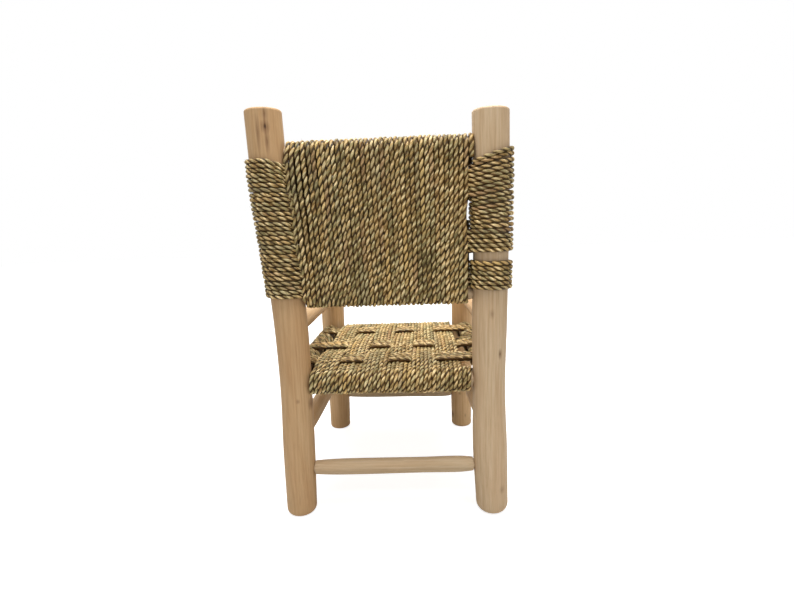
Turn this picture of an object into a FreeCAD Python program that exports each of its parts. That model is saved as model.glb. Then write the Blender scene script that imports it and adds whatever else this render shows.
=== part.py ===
"""Low armchair of debarked round poles, with a rope seat and a rope back.

Millimetres, +Z up. The chair faces -Y and the sitter's left is +X.
The poles join by round tenons in blind holes, and the rope is wound over the rails and posts.
"""
import FreeCAD, Part
import itertools
import math
import os

os.makedirs("parts", exist_ok=True)

Vector = FreeCAD.Vector
UP = Vector(0, 0, 1)
LEFTWARD = Vector(1, 0, 0)
REARWARD = Vector(0, 1, 0)

# Places of the posts and legs, centre to centre
back_post_spacing = 356.0
front_leg_spacing = 326.0
side_spacing = 360.0

# Posts and legs
left_back_post_height = 718.5
right_back_post_height = 703.5
back_post_diameter = 57.0
front_leg_height = 402.5
front_leg_diameter = 53.0
left_back_foot_rounding = 10.0
right_back_foot_rounding = 16.0
front_foot_rounding = 7.0
pole_top_rounding = 4.0

# Rails, arms and stretchers: height of the centre line, and diameter
seat_rail_height = 252.5
seat_rail_diameter = 31.0
side_rail_diameter = 28.0
back_top_rail_height = 651.0
back_lower_rail_height = 405.5
back_rail_diameter = 21.0
arm_below_leg_top = 51.0
arm_diameter = 33.0
rear_stretcher_height = 88.0
rear_stretcher_rise = 4.0
front_stretcher_height = 91.5
front_stretcher_rise = -3.0
cross_stretcher_diameter = 28.5
left_stretcher_height = 147.0
right_stretcher_height = 160.0
side_stretcher_diameter = 34.0

# Tenons and their blind holes
seat_tenon_diameter = 18.0
back_tenon_diameter = 14.0
frame_tenon_diameter = 18.0
tenon_clearance = 0.15
tenon_wall = 2.0
shoulder_gap = 1.4

# Rope
rope_diameter = 6.8
rope_gap = 0.5
wrap_gap = 0.8
seat_gap = 0.3
post_gap = 0.6

# Rope on the seat: distance from each end of the winding to the post or leg beside it
seat_bands = 6
seat_rear_left_margin = 0.6
seat_rear_right_margin = 15.0
seat_front_left_margin = 2.0
seat_front_right_margin = 2.0
rail_end_turns = 2
rail_end_margin = 1.5
seat_weft_loops = 5
seat_weft_rear_place = 128.0
seat_weft_middle_place = 32.0
seat_weft_front_place = -96.0
side_wrap_margin = 5.0

# Rope on the back: distance from each end of the winding to the post beside it, by rail.
# At the top of the right post, half a turn with a gap on each side fills that distance.
back_bands = 6
back_top_left_margin = 5.8
back_rail_end_gap = 0.4
back_lower_left_margin = 5.8
back_lower_right_margin = 8.0
edge_clearance = 0.1
throat_radius = 12.0

# The back's cross rope: where the middle of its loops is at each post, on the way up from the
# lower rail to the top rail, and how much of that way they take up
upper_weft_left_place_share = 0.640
upper_weft_right_place_share = 0.745
upper_weft_width_share = 0.190
lower_weft_left_place_share = 0.222
lower_weft_right_place_share = 0.367
lower_weft_width_share = 0.165

# Bare stretch of the right post below the lower cross rope, beyond one rope's width
right_bare_gap = 14.0

# Natural shape of each pole at equal steps from its foot to its top.
# Lean shares are of the nominal diameter and move the centre towards +X.
left_back_lean_shares = (0.020, -0.030, -0.085, -0.075, 0.040, 0.214, 0.267)
left_back_girth_shares = (0.958, 1.010, 0.982, 1.018, 1.028, 1.053, 1.063)
right_back_lean_shares = (0.009, 0.071, 0.101, 0.078, 0.035, 0.019, 0.028)
right_back_girth_shares = (0.990, 1.069, 0.999, 1.048, 1.035, 1.046, 1.053)
left_front_lean_shares = (0.025, 0.004, 0.038, 0.085, 0.068, 0.038)
left_front_girth_shares = (0.960, 1.000, 1.040, 1.050, 1.065, 1.030)
right_front_lean_shares = (0.113, 0.119, 0.072, 0.028, -0.005, -0.002)
right_front_girth_shares = (0.960, 0.975, 0.991, 0.990, 1.015, 0.974)

# Girth of a rail from shoulder to shoulder: where along it, and the share of its diameter
wound_rail_shares = ((0.0, 0.94), (0.04, 1.0), (0.10, 1.0), (0.20, 1.0), (0.40, 1.0), (0.60, 1.0),
                     (0.80, 1.0), (0.90, 1.0), (0.96, 1.0), (1.0, 0.94))
arm_shares = ((0.0, 0.84), (0.08, 0.97), (0.30, 1.0), (0.55, 0.96), (0.80, 1.0), (0.93, 0.96), (1.0, 0.82))
stretcher_shares = ((0.0, 0.86), (0.10, 0.96), (0.35, 1.0), (0.60, 0.97), (0.85, 1.0), (0.95, 0.95),
                    (1.0, 0.84))

# Sections of a pole's loft for each step of its shares
sections_per_step = 3

# Samples along each arc of a rope for the gap that is printed, and what counts as straight
samples_per_arc = 10
straight_tolerance_share = 1e-6


class Pole:
    """A standing pole: its centre and radius at any height follow its shares."""

    def __init__(self, x, y, height, diameter, foot_rounding, lean_shares, girth_shares):
        self.x = x
        self.y = y
        self.height = height
        self.diameter = diameter
        self.foot_rounding = foot_rounding
        self.lean_shares = lean_shares
        self.girth_shares = girth_shares

    def centre(self, z):
        lean = smooth_share(self.lean_shares, z / self.height)
        return Vector(self.x + lean * self.diameter, self.y, z)

    def radius(self, z):
        return smooth_share(self.girth_shares, z / self.height) * self.diameter / 2

    def solid(self):
        steps = (len(self.girth_shares) - 1) * sections_per_step
        heights = [self.height * i / steps for i in range(steps + 1)]
        rings = [ring(self.centre(z), UP, self.radius(z)) for z in heights]
        body = Part.makeLoft(rings, True, False)
        foot = [edge for edge in body.Edges if lies_flat(edge, 0)]
        top = [edge for edge in body.Edges if lies_flat(edge, self.height)]
        return body.makeFillet(self.foot_rounding, foot).makeFillet(pole_top_rounding, top)


class Rail:
    """A rail between two standing poles, with a tenon at each end.

    Its height is half way along it, and it rises from the first pole to the second.
    """

    def __init__(self, first, second, height, diameter, tenon_diameter, shares, rise=0):
        self.diameter = diameter
        self.tenon_diameter = tenon_diameter
        self.shares = shares
        self.first_centre = first.centre(height - rise / 2)
        self.second_centre = second.centre(height + rise / 2)
        span = self.second_centre.sub(self.first_centre)
        self.direction = span.normalize()
        tenon_stop = tenon_diameter / 2 + tenon_wall
        self.start = self.first_centre + self.direction * tenon_stop
        self.end = self.second_centre - self.direction * tenon_stop
        self.shoulder_start = self.first_centre + self.direction * (first.radius(height) + shoulder_gap)
        self.shoulder_end = self.second_centre - self.direction * (second.radius(height) + shoulder_gap)

    def at_x(self, x):
        return self.first_centre + self.direction * ((x - self.first_centre.x) / self.direction.x)

    def at_y(self, y):
        return self.first_centre + self.direction * ((y - self.first_centre.y) / self.direction.y)

    def solid(self):
        length = self.shoulder_end.sub(self.shoulder_start).Length
        rings = []
        for place_share, girth_share in self.shares:
            middle = self.shoulder_start + self.direction * (length * place_share)
            rings.append(ring(middle, self.direction, self.diameter * girth_share / 2))
        body = Part.makeLoft(rings, True, False)
        return body.fuse(rod(self.start, self.end, self.tenon_diameter / 2)).removeSplitter()

    def holes(self):
        """Blind holes for both tenons, a clearance wider and longer than they are."""
        reach = self.direction * tenon_clearance
        return rod(self.start - reach, self.end + reach, self.tenon_diameter / 2 + tenon_clearance)


def smooth_share(shares, place):
    """The share at a place from 0 to 1, on a smooth curve through equally spaced shares."""
    last = len(shares) - 1
    step = min(max(int(place * last), 0), last - 1)
    t = place * last - step
    here = shares[step]
    there = shares[step + 1]
    before = shares[step - 1] if step > 0 else 2 * here - there
    after = shares[step + 2] if step + 2 <= last else 2 * there - here
    slope_here = (there - before) / 2
    slope_there = (after - here) / 2
    bend = 2 * (here - there) + slope_here + slope_there
    curve = 3 * (there - here) - 2 * slope_here - slope_there
    return here + t * (slope_here + t * (curve + t * bend))


def ring(centre, normal, radius):
    return Part.Wire(Part.Circle(centre, normal, radius).toShape())


def rod(start, end, radius):
    span = end.sub(start)
    return Part.makeCylinder(radius, span.Length, start, span)


def lies_flat(edge, height):
    box = edge.BoundBox
    return abs(box.ZMin - height) < tenon_clearance and abs(box.ZMax - height) < tenon_clearance


# Rope paths: a path is a list of places, each a point and the direction of travel there

def arc(start, corner, end):
    """The arc from start to end that is tangent to both lines through the corner."""
    base = (start + end) * 0.5
    cosine = (end - start).Length / 2 / (corner - start).Length
    through = base + (corner - base) * (cosine / (1 + cosine))
    return Part.Arc(start, through, end).toShape()


def biarc(start, start_way, end, end_way):
    """Two arcs that leave the start along its direction and reach the end along its own."""
    span = end - start
    ways = start_way + end_way
    spread = 2 * (1 - start_way.dot(end_way))
    along = span.dot(ways)
    reach = span.dot(span) / (along + math.sqrt(along * along + spread * span.dot(span)))
    first_corner = start + start_way * reach
    second_corner = end - end_way * reach
    middle = (first_corner + second_corner) * 0.5
    return [arc(start, first_corner, middle), arc(middle, second_corner, end)]


def path_edges(places):
    """Straight where both directions point at the next place, and two arcs elsewhere."""
    edges = []
    for (start, start_way), (end, end_way) in zip(places, places[1:]):
        chord = (end - start).normalize()
        turning = start_way.cross(chord).Length + end_way.cross(chord).Length
        if turning < straight_tolerance_share:
            edges.append(Part.LineSegment(start, end).toShape())
        else:
            edges += biarc(start, start_way, end, end_way)
    return edges


def rope(name, places):
    """One unbroken rope along the places, with its least gap to itself printed."""
    edges = path_edges(places)
    start, way = places[0]
    shell = Part.Wire(edges).makePipeShell([ring(start, way, rope_diameter / 2)], True, False)
    length = sum(edge.Length for edge in edges)
    fullness = shell.Volume / (math.pi * (rope_diameter / 2) ** 2 * length)
    gap = least_gap(edges)
    print(f"{name}: length {length:.0f}, volume over section times length {fullness:.4f}, "
          f"least gap {gap:.2f}")
    return shell


def path_points(edges):
    """Points along the path, with their distance from its start."""
    points = []
    travelled = 0
    for edge in edges:
        spans = max(samples_per_arc, int(edge.Length / rope_diameter))
        first = edge.FirstParameter
        step = (edge.LastParameter - first) / spans
        for i in range(spans):
            points.append((edge.valueAt(first + step * i), travelled + edge.Length * i / spans))
        travelled += edge.Length
    points.append((edges[-1].valueAt(edges[-1].LastParameter), travelled))
    return points


def least_gap(edges):
    """The least distance between stretches of one rope that lie side by side, less its diameter."""
    points = path_points(edges)
    reach = 2 * rope_diameter
    far_along = 3 * rope_diameter
    cells = {}
    for i in range(len(points) - 1):
        middle = (points[i][0] + points[i + 1][0]) * 0.5
        cells.setdefault(cell_of(middle, reach), []).append(i)
    least = reach
    for point, travelled in points:
        column, row, layer = cell_of(point, reach)
        for a, b, c in itertools.product((-1, 0, 1), repeat=3):
            for i in cells.get((column + a, row + b, layer + c), ()):
                if abs(points[i][1] - travelled) > far_along:
                    least = min(least, distance_to_span(point, points[i][0], points[i + 1][0]))
    return least - rope_diameter


def cell_of(point, size):
    return (math.floor(point.x / size), math.floor(point.y / size), math.floor(point.z / size))


def distance_to_span(point, start, end):
    span = end - start
    share = min(max((point - start).dot(span) / span.dot(span), 0), 1)
    return (start + span * share - point).Length


def loops_over_two_bars(first_bar, second_bar, outward, lift, start, end):
    """Loops round two bars, cut half way along the run that lies on their inner side.

    Each bar is a function that gives its centre line's point for a count of turns.
    """
    def run(turn, side):
        """The run from bar to bar: outer side from the first bar, inner side back to it."""
        a = first_bar(turn) + outward * (lift * side)
        b = second_bar(turn) + outward * (lift * side)
        if side < 0:
            a, b = b, a
        way = (b - a).normalize()
        return [(a, way), (b, way)]

    entry = run(start - 0.5, -1)
    places = [((entry[0][0] + entry[1][0]) * 0.5, entry[0][1]), entry[1]]
    for turn in range(start, end):
        places += run(turn, 1)
        places += run(turn + 0.5, -1)
    leave = places[-2:]
    places[-1] = ((leave[0][0] + leave[1][0]) * 0.5, leave[0][1])
    return places


def turns_round_bar(centre, lift, side, way, half_turns):
    """Turns round one bar, with a straight end of one rope diameter at each end.

    The centre and the lift are functions of the count of half turns.
    """
    places = []
    for i in range(half_turns + 1):
        sign = 1 if i % 2 == 0 else -1
        places.append((centre(i) + side * (lift(i) * sign), way * sign))
    first, last = places[0], places[-1]
    places.insert(0, (first[0] - first[1] * rope_diameter, first[1]))
    places.append((last[0] + last[1] * rope_diameter, last[1]))
    return places


def between(first, last, share):
    return first + (last - first) * share


# The standing poles

back_y = side_spacing / 2
front_y = -side_spacing / 2
left_back_post = Pole(back_post_spacing / 2, back_y, left_back_post_height, back_post_diameter,
                      left_back_foot_rounding, left_back_lean_shares, left_back_girth_shares)
right_back_post = Pole(-back_post_spacing / 2, back_y, right_back_post_height, back_post_diameter,
                       right_back_foot_rounding, right_back_lean_shares, right_back_girth_shares)
left_front_leg = Pole(front_leg_spacing / 2, front_y, front_leg_height, front_leg_diameter,
                      front_foot_rounding, left_front_lean_shares, left_front_girth_shares)
right_front_leg = Pole(-front_leg_spacing / 2, front_y, front_leg_height, front_leg_diameter,
                       front_foot_rounding, right_front_lean_shares, right_front_girth_shares)

# How far the rope's centre line lies from the centre of each rail that it goes over
seat_lift = seat_rail_diameter / 2 + seat_gap + rope_diameter / 2
side_lift = side_rail_diameter / 2 + seat_gap + rope_diameter / 2
back_lift = back_rail_diameter / 2 + seat_gap + rope_diameter / 2
rope_pitch = rope_diameter + rope_gap
wrap_pitch = rope_diameter + wrap_gap
back_top_right_margin = rope_diameter + 2 * back_rail_end_gap

# The side rails sit higher than the others, so that the cross rope lies on top of the seat's rope
side_rail_height = seat_rail_height + seat_lift + rope_pitch - side_lift
arm_height = front_leg_height - arm_below_leg_top

rails = {
    "seat_rear_rail": Rail(left_back_post, right_back_post, seat_rail_height, seat_rail_diameter,
                           seat_tenon_diameter, wound_rail_shares),
    "seat_front_rail": Rail(left_front_leg, right_front_leg, seat_rail_height, seat_rail_diameter,
                            seat_tenon_diameter, wound_rail_shares),
    "seat_left_rail": Rail(left_back_post, left_front_leg, side_rail_height, side_rail_diameter,
                           seat_tenon_diameter, wound_rail_shares),
    "seat_right_rail": Rail(right_back_post, right_front_leg, side_rail_height, side_rail_diameter,
                            seat_tenon_diameter, wound_rail_shares),
    "back_top_rail": Rail(left_back_post, right_back_post, back_top_rail_height, back_rail_diameter,
                          back_tenon_diameter, wound_rail_shares),
    "back_lower_rail": Rail(left_back_post, right_back_post, back_lower_rail_height, back_rail_diameter,
                            back_tenon_diameter, wound_rail_shares),
    "left_arm": Rail(left_back_post, left_front_leg, arm_height, arm_diameter,
                     frame_tenon_diameter, arm_shares),
    "right_arm": Rail(right_back_post, right_front_leg, arm_height, arm_diameter,
                      frame_tenon_diameter, arm_shares),
    "rear_stretcher": Rail(left_back_post, right_back_post, rear_stretcher_height, cross_stretcher_diameter,
                           frame_tenon_diameter, stretcher_shares, rear_stretcher_rise),
    "front_stretcher": Rail(left_front_leg, right_front_leg, front_stretcher_height,
                            cross_stretcher_diameter, frame_tenon_diameter, stretcher_shares,
                            front_stretcher_rise),
    "left_stretcher": Rail(left_back_post, left_front_leg, left_stretcher_height, side_stretcher_diameter,
                           frame_tenon_diameter, stretcher_shares),
    "right_stretcher": Rail(right_back_post, right_front_leg, right_stretcher_height,
                            side_stretcher_diameter, frame_tenon_diameter, stretcher_shares),
}
poles = {
    "left_back_post": left_back_post,
    "right_back_post": right_back_post,
    "left_front_leg": left_front_leg,
    "right_front_leg": right_front_leg,
}


def inner_face(pole, height, side):
    """The x of a pole's surface on the side that faces the middle of the chair."""
    return pole.centre(height).x - side * pole.radius(height)


def winding_along_rail(height, left_pole, right_pole, left_margin, right_margin):
    """The x of the first and last rope of a winding that starts beside the left pole."""
    first = inner_face(left_pole, height, 1) - left_margin - rope_diameter / 2
    last = inner_face(right_pole, height, -1) + right_margin + rope_diameter / 2
    return first, last


def bands(name, count, ends, first_rail, second_rail, outward, lift):
    """A wide winding over two rails, divided into bands that meet end to end."""
    (first_start, first_end), (second_start, second_end) = ends
    narrow = min(first_start - first_end, second_start - second_end)
    turns = int(narrow / rope_pitch)

    def on_first(turn):
        return first_rail.at_x(between(first_start, first_end, (turn + 0.5) / turns))

    def on_second(turn):
        return second_rail.at_x(between(second_start, second_end, (turn + 0.5) / turns))

    made = {}
    for i in range(count):
        node = f"{name}_{i + 1}"
        places = loops_over_two_bars(on_first, on_second, outward, lift,
                                     turns * i // count, turns * (i + 1) // count)
        made[node] = rope(node, places)
    return made


# The seat's rope from the rear rail to the front rail

def seat_warp():
    rear = winding_along_rail(seat_rail_height, left_back_post, right_back_post,
                              seat_rear_left_margin, seat_rear_right_margin)
    front = winding_along_rail(seat_rail_height, left_front_leg, right_front_leg,
                               seat_front_left_margin, seat_front_right_margin)
    return bands("seat_warp_band", seat_bands, (rear, front), rails["seat_rear_rail"],
                 rails["seat_front_rail"], UP, seat_lift)


def rail_end_wrap():
    """A few turns that fill the rear rail beside the right post."""
    rail = rails["seat_rear_rail"]
    first = inner_face(right_back_post, seat_rail_height, -1) + rail_end_margin + rope_diameter / 2
    places = turns_round_bar(lambda i: rail.at_x(first + rope_pitch * i / 2), lambda i: seat_lift,
                             REARWARD * -1, UP, 2 * rail_end_turns)
    return {"seat_rail_end_wrap": rope("seat_rail_end_wrap", places)}


# The seat's cross rope, and the turns that cover the side rails between its rows

def seat_weft():
    rows = (("rear", seat_weft_rear_place), ("middle", seat_weft_middle_place),
            ("front", seat_weft_front_place))
    made = {}
    for row, place in rows:
        def y_at(turn):
            return place - (turn + 0.5 - seat_weft_loops / 2) * rope_pitch

        node = f"seat_weft_{row}"
        places = loops_over_two_bars(lambda turn: rails["seat_left_rail"].at_y(y_at(turn)),
                                     lambda turn: rails["seat_right_rail"].at_y(y_at(turn)),
                                     UP, side_lift, 0, seat_weft_loops)
        made[node] = rope(node, places)
    return made


def side_wraps():
    row_reach = seat_weft_loops * rope_pitch / 2 + rope_diameter + wrap_gap
    leg_face = front_y + front_leg_diameter / 2 + side_wrap_margin
    gaps = (("rear", seat_weft_rear_place - row_reach, seat_weft_middle_place + row_reach),
            ("middle", seat_weft_middle_place - row_reach, seat_weft_front_place + row_reach),
            ("front", seat_weft_front_place - row_reach, leg_face))
    made = {}
    for side in ("left", "right"):
        rail = rails[f"seat_{side}_rail"]
        for part_name, rear_end, front_end in gaps:
            turns = int((rear_end - front_end) / wrap_pitch)
            slack = (rear_end - front_end - turns * wrap_pitch) / 2
            node = f"{side}_rail_wrap_{part_name}"
            places = turns_round_bar(lambda i: rail.at_y(rear_end - slack - wrap_pitch * i / 2),
                                     lambda i: side_lift, UP * -1, LEFTWARD * -1, 2 * turns)
            made[node] = rope(node, places)
    return made


# The back's rope from its top rail to its lower rail

def back_warp():
    return bands("back_warp_band", back_bands, back_ends(), rails["back_top_rail"],
                 rails["back_lower_rail"], REARWARD, back_lift)


def back_rail_end_wrap():
    """Half a turn over the top rail, between the winding and the right post."""
    x = inner_face(right_back_post, back_top_rail_height, -1) + back_top_right_margin / 2
    middle = rails["back_top_rail"].at_x(x)
    places = turns_round_bar(lambda i: middle, lambda i: back_lift, REARWARD, UP, 1)
    return {"back_rail_end_wrap": rope("back_rail_end_wrap", places)}


# The back's cross rope: round both posts, and between the two layers of the upright rope

class Weft:
    """Loops of the cross rope, as many as fit into a share of the back's height.

    The left post has side 1 and the right post side -1.
    """

    def __init__(self, left_place_share, right_place_share, width_share):
        self.middles = {1: between(back_lower_rail_height, back_top_rail_height, left_place_share),
                        -1: between(back_lower_rail_height, back_top_rail_height, right_place_share)}
        self.loops = int((back_top_rail_height - back_lower_rail_height) * width_share / wrap_pitch)

    def height(self, side, turn):
        return self.middles[side] + (turn + 0.5 - self.loops / 2) * wrap_pitch

    def wrap_end(self, side, way):
        """Where a wrap starts above the loops (way 1) or ends below them (way -1).

        The right post is reached half a turn before the left one.
        """
        early = (1 - side) / 4
        turn = self.loops - early if way > 0 else -0.5 - early
        return self.height(side, turn) + wrap_gap * way


upper_weft = Weft(upper_weft_left_place_share, upper_weft_right_place_share, upper_weft_width_share)
lower_weft = Weft(lower_weft_left_place_share, lower_weft_right_place_share, lower_weft_width_share)


def post_lift(pole, height):
    return pole.radius(height) + post_gap + rope_diameter / 2


def up_the_back(height):
    return (height - back_lower_rail_height) / (back_top_rail_height - back_lower_rail_height)


def moved_in(pole, side, lower, top):
    """The two ends of the winding's edge beside a post, moved in where the post bulges towards it.

    At each loop the cross rope has to pass between the post and the upright rope.
    """
    shortfall = 0
    for weft in (lower_weft, upper_weft):
        for turn in range(weft.loops):
            height = weft.height(side, turn + side / 4)
            reach = post_lift(pole, height) + rope_pitch
            room = math.sqrt(reach ** 2 - back_lift ** 2) + edge_clearance
            edge = between(lower, top, up_the_back(height))
            shortfall = max(shortfall, side * (edge - pole.centre(height).x) + room)
    return lower - side * shortfall, top - side * shortfall


def back_ends():
    top = winding_along_rail(back_top_rail_height, left_back_post, right_back_post,
                             back_top_left_margin, back_top_right_margin)
    lower = winding_along_rail(back_lower_rail_height, left_back_post, right_back_post,
                               back_lower_left_margin, back_lower_right_margin)
    left = moved_in(left_back_post, 1, lower[0], top[0])
    right = moved_in(right_back_post, -1, lower[1], top[1])
    return (left[1], right[1]), (left[0], right[0])


def panel_edge(height, side):
    """The x of the upright rope nearest to a post, at a height."""
    top, lower = back_ends()
    end = 0 if side > 0 else 1
    return between(lower[end], top[end], up_the_back(height))


def round_post(pole, side, enter, leave):
    """From between the layers, round a post and back, on the way from one height to another.

    The left post has side 1 and is entered from the rear. The right post has side -1 and is
    entered from the front. Seen from above, both are passed clockwise.
    """
    height = (enter + leave) / 2
    centre = pole.centre(height)
    lift = post_lift(pole, height)
    inset = (back_lift - rope_pitch / 2) / 2
    to_edge = abs(panel_edge(height, side) - centre.x)
    far = math.hypot(to_edge, back_lift)
    lean_on_post = math.atan2(back_lift, to_edge) + math.acos((lift + rope_pitch) / far)
    sine = math.sin(lean_on_post)
    cosine = math.cos(lean_on_post)
    ramp = (lift * sine - inset - throat_radius * (1 - sine)) / cosine
    bend_from = lift * cosine + ramp * sine
    bend_to = bend_from + throat_radius * cosine

    def place(inward, rearward, z):
        return Vector(centre.x - side * inward, centre.y + side * rearward, z)

    inward_way = Vector(side * sine, side * cosine, 0)
    outward_way = Vector(-side * sine, side * cosine, 0)
    places = [(place(bend_to, inset, enter), LEFTWARD * side),
              (place(bend_from, lift * sine - ramp * cosine, enter), inward_way),
              (place(lift * cosine, lift * sine, enter), inward_way)]
    sweep = 2 * (math.pi - lean_on_post)
    slope = (leave - enter) / (lift * sweep)
    for quarter in (1, 0, -1):
        angle = quarter * math.pi / 2
        share = (math.pi - lean_on_post - angle) / sweep
        point = place(-lift * math.cos(angle), lift * math.sin(angle), between(enter, leave, share))
        way = Vector(side * math.sin(angle), -side * math.cos(angle), slope).normalize()
        places.append((point, way))
    places += [(place(lift * cosine, -lift * sine, leave), outward_way),
               (place(bend_from, -lift * sine + ramp * cosine, leave), outward_way),
               (place(bend_to, -inset, leave), LEFTWARD * -side)]
    return places


def half_way(start, end):
    """The place half way along the two arcs between places with one direction."""
    chord = (end[0] - start[0]).normalize()
    return (start[0] + end[0]) * 0.5, chord * (2 * start[1].dot(chord)) - start[1]


def back_weft(node, weft):
    """Loops round both posts, cut half way along the run on the front side."""
    def round_right(turn):
        return round_post(right_back_post, -1, weft.height(-1, turn - 0.5), weft.height(-1, turn))

    def round_left(turn):
        return round_post(left_back_post, 1, weft.height(1, turn), weft.height(1, turn + 0.5))

    places = []
    for turn in range(weft.loops):
        places += round_right(turn) + round_left(turn)
    start = half_way(round_left(-1)[-1], places[0])
    end = half_way(places[-1], round_right(weft.loops)[0])
    return {node: rope(node, [start, *places, end])}


# Turns round the posts above, between and below the cross rope.
# On the left post each starts at the rear and ends at the front, and on the right the other way.

def post_wrap(node, pole, side, low, high):
    """Turns, as many as fit, spread evenly from one height to another. The half turns are odd."""
    half_turns = 2 * int((high - low) / wrap_pitch - 0.5) + 1
    step = (high - low) / half_turns

    def height(i):
        return low + step * i

    places = turns_round_bar(lambda i: pole.centre(height(i)), lambda i: post_lift(pole, height(i)),
                             REARWARD * side, LEFTWARD * side, half_turns)
    return {node: rope(node, places)}


def post_wraps():
    """Each passes the inner side, where the back's rails enter, three quarters of a turn from its ends."""
    to_inner_side = wrap_pitch * 3 / 4
    rail_reach = back_rail_diameter / 2 - to_inner_side
    rope_reach = seat_gap + rope_diameter / 2
    above_arm = arm_height + arm_diameter / 2
    lowest = max(back_lower_rail_height + rail_reach, above_arm) + rope_reach
    highest = back_top_rail_height - rail_reach - rope_reach
    sides = (("left", left_back_post, 1, 0), ("right", right_back_post, -1, right_bare_gap))
    made = {}
    for name, pole, side, bare in sides:
        stretches = (("top", upper_weft.wrap_end(side, 1), highest),
                     ("middle", lower_weft.wrap_end(side, 1), upper_weft.wrap_end(side, -1)),
                     ("lower", lowest, lower_weft.wrap_end(side, -1) - bare))
        for part_name, low, high in stretches:
            made |= post_wrap(f"{name}_post_wrap_{part_name}", pole, side, low, high)
    return made


# All pieces, moved so that the origin is under the middle of the whole chair

def frame_pieces():
    made = {name: rail.solid() for name, rail in rails.items()}
    for name, pole in poles.items():
        made[name] = pole.solid().cut([rail.holes() for rail in rails.values()])
    return made


def whole_box(shapes):
    box = FreeCAD.BoundBox()
    for shape in shapes:
        box.add(shape.optimalBoundingBox(False))
    return box


pieces = frame_pieces()
pieces |= seat_warp()
pieces |= rail_end_wrap()
pieces |= seat_weft()
pieces |= side_wraps()
pieces |= back_warp()
pieces |= back_rail_end_wrap()
pieces |= back_weft("back_weft_upper", upper_weft)
pieces |= back_weft("back_weft_lower", lower_weft)
pieces |= post_wraps()

box = whole_box(pieces.values())
to_origin = Vector(-box.Center.x, -box.Center.y, -box.ZMin)
for name, shape in pieces.items():
    shape.translate(to_origin)
    shape.exportStep(f"parts/{name}.step")
print(f"{len(pieces)} pieces, size {box.XLength:.1f} x {box.YLength:.1f} x {box.ZLength:.1f}, "
      f"moved by {to_origin.x:.2f}, {to_origin.y:.2f}, {to_origin.z:.2f}")
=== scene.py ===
"""Low armchair of debarked round poles, dressed with two-ply grass rope.

Metres, +Z up. The chair faces -Y and the sitter's left is +X. It is seen from behind.
"""

import math

import bpy
import numpy as np
from mathutils import Matrix, Vector
from mathutils.bvhtree import BVHTree


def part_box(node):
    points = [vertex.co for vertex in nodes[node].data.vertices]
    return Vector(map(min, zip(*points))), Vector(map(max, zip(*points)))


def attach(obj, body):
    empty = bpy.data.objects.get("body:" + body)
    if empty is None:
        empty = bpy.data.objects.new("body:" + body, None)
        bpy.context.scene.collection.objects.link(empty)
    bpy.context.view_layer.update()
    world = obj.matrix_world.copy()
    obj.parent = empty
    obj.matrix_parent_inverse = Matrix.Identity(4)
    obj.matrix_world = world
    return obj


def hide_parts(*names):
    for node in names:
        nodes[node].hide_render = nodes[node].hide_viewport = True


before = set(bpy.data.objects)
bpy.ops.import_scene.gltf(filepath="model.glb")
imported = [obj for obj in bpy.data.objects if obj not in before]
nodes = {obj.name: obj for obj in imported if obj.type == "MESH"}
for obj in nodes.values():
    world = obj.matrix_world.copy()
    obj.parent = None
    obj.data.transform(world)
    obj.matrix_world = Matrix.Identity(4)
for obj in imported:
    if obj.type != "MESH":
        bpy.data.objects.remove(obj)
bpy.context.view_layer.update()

UP = np.array((0.0, 0.0, 1.0))
LEFTWARD = np.array((1.0, 0.0, 0.0))
REARWARD = np.array((0.0, 1.0, 0.0))

# Rope as it is laid on the chair
rope_diameter = 0.0068
rope_pitch = 0.0073
wrap_pitch = 0.0076
ring_step = 0.0022
corner_passes = 3

# How far beside a band of rope the rope that crosses it has dipped or risen
weave_ease = 0.6 * rope_pitch

# Seat
seat_turns = 36
seat_bands = 6
seat_rear_margins = (-0.0008, 0.0150)
seat_front_margins = (0.0020, 0.0020)
seat_rope_lift = 0.0192
side_rope_lift = 0.0177
# Places of the cross rope from front to rear, where the back posts' centres are at back_post_y
seat_rows = {"rear": 0.128, "middle": 0.032, "front": -0.096}
back_post_y = 0.180
seat_row_loops = 5
leg_radius = 0.0265
side_wrap_margin = 0.005
rail_end_margin = 0.0015
rail_end_half_turns = 4
seat_girth = 1.08
rail_end_girth = 1.05

# Back
back_turns = 37
back_bands = 6
back_top_margins = (0.0058, 0.0076)
back_lower_margins = (0.0058, 0.0080)
back_left_tucks = (0.0036, 0.0060)
back_right_tucks = (0.0035, 0.0020)
back_rope_lift = 0.0142
# By row of cross rope: its place at the left and the right post on the way up, and its loops
back_row_shares = ((0.222, 0.367), (0.640, 0.745))
back_row_loops = (5, 6)
back_girth = 1.09
back_cross_drift = 0.7
throat_radius = 0.012
throat_arc_steps = 40
post_gap = 0.0006

# The half turn over the top rail beside the right post, in rope diameters
end_wrap_place = 0.4
end_wrap_rear_tail = 3.2
end_wrap_rear_stand_off = 0.3
end_wrap_front_tail = 5
end_wrap_girth = 1.15

# Turns round the posts beside the cross rope. Their ends run on by shares of half a turn.
left_wrap_top = 0.639
right_wrap_top = 0.621
wrap_foot_lift = 0.0085
right_bare_gap = 0.014
row_gap = 0.0008
row_tuck = 0.0015
hidden_end = 0.5
open_end = 0.35
least_turn_share = 0.85
post_wrap_girths = (0.95, 1.15)

# How steeply the rope round each post rises outwards, by height, over what reach from the post's
# inner face, and how far out it keeps its height. Rope that drops below its height stands off.
left_fan = ((0.600, 0.0), (0.618, 0.10), (0.628, 0.20), (0.637, 0.34)), 0.024, 0.024
right_fan = ((0.420, 0.02), (0.480, 0.03), (0.500, 0.02), (0.515, 0.07), (0.530, 0.13),
             (0.545, 0.17), (0.572, 0.24), (0.607, 0.29), (0.625, 0.36)), 0.070, 0.0
fan_stand_off = 1.5

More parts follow.
